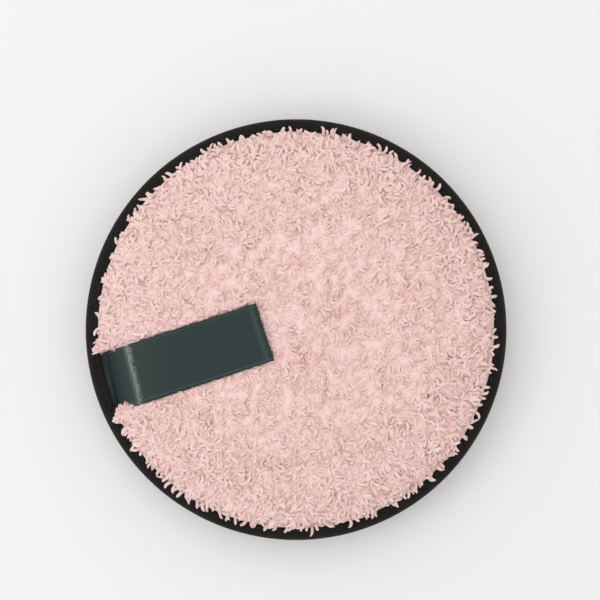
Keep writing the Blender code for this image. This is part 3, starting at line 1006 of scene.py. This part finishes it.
def stitch_row(facing):
    """The row of lockstitch that holds the tape, one small bar of thread for each stitch."""
    bar = [(-1.05, -0.18), (-0.85, 0.05), (-0.3, 0.12), (0.3, 0.12), (0.85, 0.05), (1.05, -0.18)]
    line = [np.array([along * MM, 0.0, height * MM]) for along, height in bar]
    model = strand_model("stitch", line, THREAD_RADIUS, CURL_ENDS)
    placed = []
    radius = LIP_EDGE + STITCH_INSET
    for stitch in range(STITCHES):
        angle = 2 * math.pi * (stitch + 0.5) / STITCHES
        heading = angle + math.pi / 2
        turn = standing_turn((0.0, 0.0, facing), heading, 0.0, 1.0)
        height = SEAM_HEIGHT + facing * (TAPE_NECK + TAPE_THICK / 2 - 0.03 * MM)
        spot = np.array([math.cos(angle) * radius, math.sin(angle) * radius, height])
        placed.append((model, turn, spot, 0.5))
    side = "front" if facing > 0 else "back"
    row = joined_strands("tape_stitches_" + side, placed, left_as_placed)
    row.data.materials.append(thread_finish())
    return row


def ribbon_path():
    """(distance, height) points round the loop: lower layer from the root, bulged fold, upper layer."""
    start = RIBBON_END + FOLD_BULGE
    stations = np.concatenate([
        np.linspace(start, start + 3.0 * MM, 9)[:-1],
        np.linspace(start + 3.0 * MM, BEND_START - 3.0 * MM, 22)[:-1],
        np.linspace(BEND_START - 3.0 * MM, SLOT_START + 1.0 * MM, 34),
        [RIBBON_ROOT],
    ])
    half = (RIBBON_TAPE + RIBBON_LOOP_GAP) / 2
    rise = ribbon_rise(stations)
    slope = (ribbon_rise(stations + SLOPE_STEP) - ribbon_rise(stations - SLOPE_STEP)) / (2 * SLOPE_STEP)
    bulge = 2 * (FOLD_BULGE - half) * np.exp(-((stations - start) / (1.4 * MM)) ** 2)
    layers = []
    for offset in (0 * bulge - half, bulge + half):
        shift = offset / np.hypot(slope, 1.0)
        layers.append(list(zip(stations - slope * shift, rise + shift)))
    lower, upper = layers
    middle = (start, (lower[0][1] + upper[0][1]) / 2)
    fold = []
    for index in range(1, 10):
        turn = math.pi * index / 10
        fold.append((middle[0] - FOLD_BULGE * math.sin(turn), middle[1] - FOLD_BULGE * math.cos(turn)))
    return lower[::-1] + fold + upper


def ribbon_strip():
    """The folded ribbon, laid as one strip and given its thickness."""
    path = ribbon_path()
    deselect()
    bpy.ops.mesh.primitive_grid_add(
        x_subdivisions=len(path) - 1, y_subdivisions=RIBBON_COLUMNS - 1, size=1.0
    )
    strip = bpy.context.object
    strip.name = "ribbon_tag_satin"
    points = points_of(strip.data)
    rows = np.rint((points[:, 0] + 0.5) * (len(path) - 1)).astype(int)
    shares = points[:, 1]
    run = [0.0]
    for before, after in zip(path, path[1:]):
        run.append(run[-1] + math.hypot(after[0] - before[0], after[1] - before[1]))
    folded = len(path) / 2
    placed = []
    for row, share in zip(rows, shares):
        along, height = path[row]
        across = share * RIBBON_WIDTH
        fan = RIBBON_FAN * (along - RIBBON_END) if row < folded and across < 0 else 0.0
        height += ribbon_rise(along + RIBBON_SKEW * across) - ribbon_rise(along)
        ripple = noise.noise(Vector((along / 0.012, across / 0.03, 2.0))) * RIBBON_RIPPLE
        rest = max(0.0, min(1.0, (BEND_START - 1.0 * MM - along) / (8 * MM)))
        spot = RIBBON_OUT * along + RIBBON_SIDE * (RIBBON_OFFSET + across - fan)
        placed.append((spot[0], spot[1], SEAM_HEIGHT + height + ripple * rest))
    place_points(strip.data, placed)
    layer = strip.data.uv_layers.new(name="ribbon_run")
    for face in strip.data.polygons:
        for corner, index in zip(face.loop_indices, face.vertices):
            layer.data[corner].uv = (run[rows[index]] / MM, (shares[index] + 0.5) * RIBBON_WIDTH / MM)
    for unused in [each for each in strip.data.uv_layers if each.name != "ribbon_run"]:
        strip.data.uv_layers.remove(unused)
    wall = strip.modifiers.new("tape", "SOLIDIFY")
    wall.thickness = RIBBON_TAPE
    wall.offset = 0.0
    apply_modifiers(strip)
    strip.data.shade_smooth()
    strip.data.materials.append(satin_finish())
    bpy.ops.object.shade_smooth_by_angle(angle=math.radians(50))
    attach(strip, "root")
    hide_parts("ribbon_tag")
    return strip


def in_pieces(name, placed, count, keep_clear, finish):
    """The placed strands as a few pieces of even size."""
    for index in range(count):
        piece = joined_strands(f"{name}_{index + 1}", placed[index::count], keep_clear)
        piece.data.materials.append(finish)


def hidden_by_ribbon(place):
    """Whether a root is so far under the ribbon that nothing of its curl would show."""
    along = np.array(place) @ RIBBON_OUT
    across = abs(np.array(place) @ RIBBON_SIDE - RIBBON_OFFSET)
    return along > RIBBON_END + 2.0 * MM and across < RIBBON_WIDTH / 2 - 2.0 * MM


def studio():
    """A pale floor in a soft plain room, with one wide lamp and a smaller one from the side."""
    deselect()
    bpy.ops.mesh.primitive_plane_add(size=FLOOR_SIZE)
    floor = bpy.context.object
    floor.name = "floor"
    floor.data.materials.append(floor_finish())
    world = bpy.data.worlds.new("soft_room")
    bpy.context.scene.world = world
    world.use_nodes = True
    room = Shader(world.node_tree)
    lit = room.tree.nodes["Background"]
    lit.inputs["Color"].default_value = (1.0, 1.0, 1.0, 1.0)
    lit.inputs["Strength"].default_value = ROOM_LIGHT
    seen = room.node("ShaderNodeBackground", {}, {"Color": (0.94, 0.94, 0.94, 1.0)})
    rays = room.node("ShaderNodeLightPath", {}, {}, "Is Camera Ray")
    mixed = room.node("ShaderNodeMixShader", {}, {0: rays, 1: Socket(room, lit.outputs[0]), 2: seen})
    room.tree.links.new(mixed.link, room.tree.nodes["World Output"].inputs["Surface"])
    for name, spot, size, power in [
        ("key_light", (-0.34, 0.40, 0.74), 1.10, 1.6),
        ("side_light", (-0.62, -0.20, 0.46), 0.30, 0.5),
    ]:
        light = bpy.data.lights.new(name, "AREA")
        light.shape = "DISK"
        light.size = size
        light.energy = power
        lamp = bpy.data.objects.new(name, light)
        lamp.location = spot
        lamp.rotation_euler = (-Vector(spot)).to_track_quat("-Z", "Y").to_euler()
        lamp.visible_camera = False
        bpy.context.scene.collection.objects.link(lamp)


def camera():
    """The photo's view from straight above."""
    lens = bpy.data.cameras.new("photo_view")
    lens.lens = CAMERA_LENS
    lens.sensor_width = 36.0
    lens.clip_start = 0.01
    eye = bpy.data.objects.new("photo_view", lens)
    eye.location = (CAMERA_X, CAMERA_Y, CAMERA_HEIGHT)
    bpy.context.scene.collection.objects.link(eye)
    bpy.context.scene.camera = eye
    bpy.context.scene.view_settings.view_transform = "Standard"


camera()
studio()

# Yarn of both faces
pink_root = linear(251, 222, 217)
pink_middle = linear(249, 219, 213)
pink_tip = linear(247, 216, 210)
front_finish = plush_finish("curly_plush", pink_root, pink_middle, pink_tip, (0.91, 0.79, 0.77))
back_finish = plush_finish("curly_plush_back", pink_root, pink_middle, pink_tip, (0.91, 0.79, 0.77))

# Ground cloth of both faces
front_clumps = Clumps(FRONT_RISE, FRONT_CLUMPS, FRONT_DOME, 5)
back_clumps = Clumps(BACK_RISE, BACK_CLUMPS, BACK_DOME, 6)
front = ground_cover("front", FRONT_RISE, 1, front_clumps, linear(246, 214, 208), linear(251, 222, 217))
back = ground_cover("back", BACK_RISE, -1, back_clumps, linear(245, 212, 206), linear(250, 221, 216))

# Pile of the front, then of the back
curls = strand_models("curl", CURL_SHAPES, CURL_DEPTH, CURL_RADIUS, CURL_ENDS)
rods = strand_models("rod", ROD_SHAPES, ROD_DEPTH, ROD_RADIUS, ROD_ENDS)

front_roots = rooted_points(front, FRONT_RISE, 1, FRONT_CURLS, 31)
open_roots = [root for root in front_roots if not hidden_by_ribbon(root[0])]
front_pile = pile_over(open_roots, 1, front_clumps, curls, 0.85, 1.1)
in_pieces("front_pile", front_pile, 3, clear_in_front, front_finish)
front_rim = rim_fringe(rods, 1, FRONT_RISE)
in_pieces("front_rim_pile", front_rim, 1, clear_in_front, front_finish)
corner = corner_tuft(curls[:4])
in_pieces("front_corner_tuft", corner, 1, clear_of_tape, front_finish)

back_roots = rooted_points(back, BACK_RISE, -1, BACK_CURLS, 47)
back_pile = pile_over(back_roots, -1, back_clumps, curls, 0.8, 1.0)
in_pieces("back_pile", back_pile, 2, clear_behind, back_finish)
back_rim = rim_fringe(rods, -1, BACK_RISE)
in_pieces("back_rim_pile", back_rim, 1, clear_behind, back_finish)

# Tape, thread and ribbon
edge_tape()
stitch_row(1)
stitch_row(-1)
ribbon = ribbon_strip()

# The foam core is the solid itself, with its own finish
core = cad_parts["foam_core"]
foam = foam_finish()
for slot in core.material_slots:
    slot.material = foam
